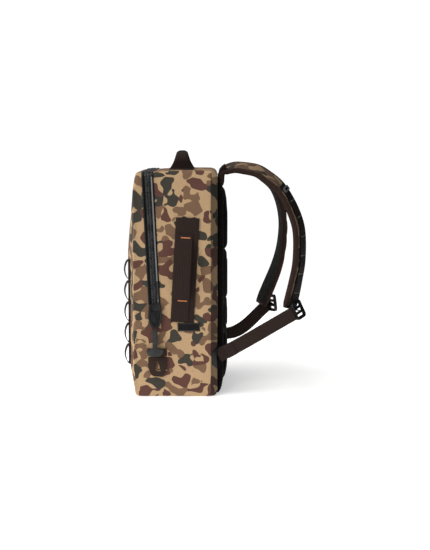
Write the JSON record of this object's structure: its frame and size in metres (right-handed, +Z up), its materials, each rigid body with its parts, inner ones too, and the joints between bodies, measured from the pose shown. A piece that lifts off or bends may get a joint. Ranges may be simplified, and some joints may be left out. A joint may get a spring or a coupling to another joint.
{
  "type": "tackle backpack",
  "caption": "Upright waterproof zip-closed fishing backpack with padded shoulder straps, haul and side handles and front lash loops.",
  "frame": {"origin": "on the flat base, mid-width, under the haul handle's front edge", "axes": "+X towards the wearer's back, +Y across the pack, +Z up"},
  "size_m": [0.3976, 0.3512, 0.526],
  "materials": {
    "camo_fabric": "matte coated nylon in a blob camouflage pattern",
    "coated_tape": "satin polyurethane-coated tape",
    "zip_teeth": "satin moulded teeth",
    "moulded_black": "satin moulded plastic",
    "frame_sheet": "smooth sheet",
    "pad_mesh": "black knitted air mesh over foam",
    "yoke_fabric": "dark woven nylon",
    "dark_webbing": "dark brown woven nylon webbing",
    "bar_tack_thread": "copper-coloured thread",
    "woven_label": "plain black woven label",
    "brown_webbing": "dark brown webbing",
    "pocket_mesh": "grey stretch mesh",
    "pocket_zip_tape": "zip tape",
    "base_foam": "closed-cell foam",
    "lining_mesh": "grey-black knitted lining",
    "hardware_black": "moulded acetal",
    "clip_grey": "moulded acetal",
    "slider_metal": "dark plated metal",
    "pull_cord": "braided cord",
    "pull_rubber": "matte moulded rubber",
    "grip_wrap": "ribbed wrap"
  },
  "bodies": {
    "pack": {"main_shell": "camo_fabric", "zip_tape_rear": "coated_tape", "zip_chain_rear": "zip_teeth", "zip_dock": "moulded_black", "zip_end_far": "moulded_black", "back_frame_sheet": "frame_sheet", "back_panel": "pad_mesh", "back_pad_top": "pad_mesh", "back_pad_mid": "pad_mesh", "back_pad_low": "pad_mesh", "lumbar_pad": "pad_mesh", "strap_yoke": "yoke_fabric", "strap_roots": "yoke_fabric", "lower_wing_near": "coated_tape", "lower_wing_far": "coated_tape", "side_handle_base_near": "dark_webbing", "side_handle_base_far": "dark_webbing", "handle_bar_tacks": "bar_tack_thread", "side_label": "woven_label", "top_handle_anchors": "dark_webbing", "finger_loop_patch": "brown_webbing", "pocket_panel": "pocket_mesh", "pocket_zip": "pocket_zip_tape", "floor_pad": "base_foam", "daisy_lower_near": "dark_webbing", "daisy_lower_far": "dark_webbing"},
    "lid": {"front_shell": "camo_fabric", "zip_tape_front": "coated_tape", "zip_chain_front": "zip_teeth", "daisy_upper_near": "dark_webbing", "daisy_upper_far": "dark_webbing"},
    "slider": {"zip_slider": "slider_metal"},
    "pull": {"pull_cord": "pull_cord", "zip_pull": "pull_rubber"},
    "finger_loop": {"finger_loop": "brown_webbing"},
    "top_handle": {"top_handle_webbing": "dark_webbing", "top_handle_grip": "grip_wrap"},
    "side_handle_near": {"side_handle_near": "dark_webbing"},
    "side_handle_far": {"side_handle_far": "dark_webbing"},
    "strap_near": {"shoulder_pad_near": "camo_fabric", "strap_lining_near": "lining_mesh", "strap_webbing_near": "dark_webbing", "ladder_lock_near": "hardware_black", "adjuster_near": "dark_webbing"},
    "strap_far": {"shoulder_pad_far": "camo_fabric", "strap_lining_far": "lining_mesh", "strap_webbing_far": "dark_webbing", "ladder_lock_far": "hardware_black", "adjuster_far": "dark_webbing"},
    "tail_near": {"adjuster_tail_near": "dark_webbing"},
    "tail_far": {"adjuster_tail_far": "dark_webbing"},
    "clip_near": {"sternum_clip_near": "clip_grey"},
    "clip_far": {"sternum_clip_far": "clip_grey"},
    "pocket_slider": {"pocket_slider": "slider_metal"}
  },
  "joints": [
    {"name": "lid_hinge", "type": "hinge", "parent": "pack", "child": "lid", "pos_m": [-0.1055, 0, 0.156], "axis": [0, -1, 0], "range_deg": [0, 100]},
    {"name": "slider_travel", "type": "slide", "parent": "pack", "child": "slider", "axis": [-0.0492, 0, 0.9988], "range_m": [0, 0.26]},
    {"name": "pull_flip", "type": "hinge", "parent": "slider", "child": "pull", "pos_m": [-0.03767, -0.1627, 0.17], "axis": [-1, 0, 0], "range_deg": [0, 150]},
    {"name": "finger_loop_fold", "type": "hinge", "parent": "pack", "child": "finger_loop", "pos_m": [-0.033, -0.1572, 0.088], "axis": [-1, 0, 0], "range_deg": [0, 85]},
    {"name": "top_handle_flop", "type": "hinge", "parent": "pack", "child": "top_handle", "pos_m": [0.017, 0, 0.499], "axis": [0, 1, 0], "range_deg": [-70, 70]},
    {"name": "side_handle_near_twist", "type": "hinge", "parent": "pack", "child": "side_handle_near", "pos_m": [0.02037, -0.1568, 0.277], "axis": [0.0558, 0, 0.9984], "range_deg": [-20, 20]},
    {"name": "side_handle_far_twist", "type": "hinge", "parent": "pack", "child": "side_handle_far", "pos_m": [0.02037, 0.1568, 0.277], "axis": [0.0558, 0, 0.9984], "range_deg": [-20, 20]},
    {"name": "strap_near_swing", "type": "hinge", "parent": "pack", "child": "strap_near", "pos_m": [0.108, -0.056, 0.47], "axis": [-0.0103, -0.2109, -0.9774], "range_deg": [-12, 14]},
    {"name": "strap_far_swing", "type": "hinge", "parent": "pack", "child": "strap_far", "pos_m": [0.108, 0.056, 0.47], "axis": [0.0103, -0.2109, 0.9774], "range_deg": [-12, 14]},
    {"name": "tail_near_flap", "type": "hinge", "parent": "strap_near", "child": "tail_near", "pos_m": [0.24992, -0.1573, 0.17732], "axis": [-0.5084, 0, 0.8611], "range_deg": [0, 60]},
    {"name": "tail_far_flap", "type": "hinge", "parent": "strap_far", "child": "tail_far", "pos_m": [0.2081, 0.15328, 0.15503], "axis": [0.5226, 0, -0.8526], "range_deg": [0, 60]},
    {"name": "clip_near_slide", "type": "slide", "parent": "strap_near", "child": "clip_near", "axis": [0.5472, -0.2491, -0.7991], "range_m": [-0.012, 0.012]},
    {"name": "clip_far_slide", "type": "slide", "parent": "strap_far", "child": "clip_far", "axis": [0.4422, 0.2905, -0.8486], "range_m": [-0.012, 0.012]},
    {"name": "pocket_slider_travel", "type": "slide", "parent": "pack", "child": "pocket_slider", "axis": [0, 1, 0], "range_m": [0, 0.184]}
  ]
}
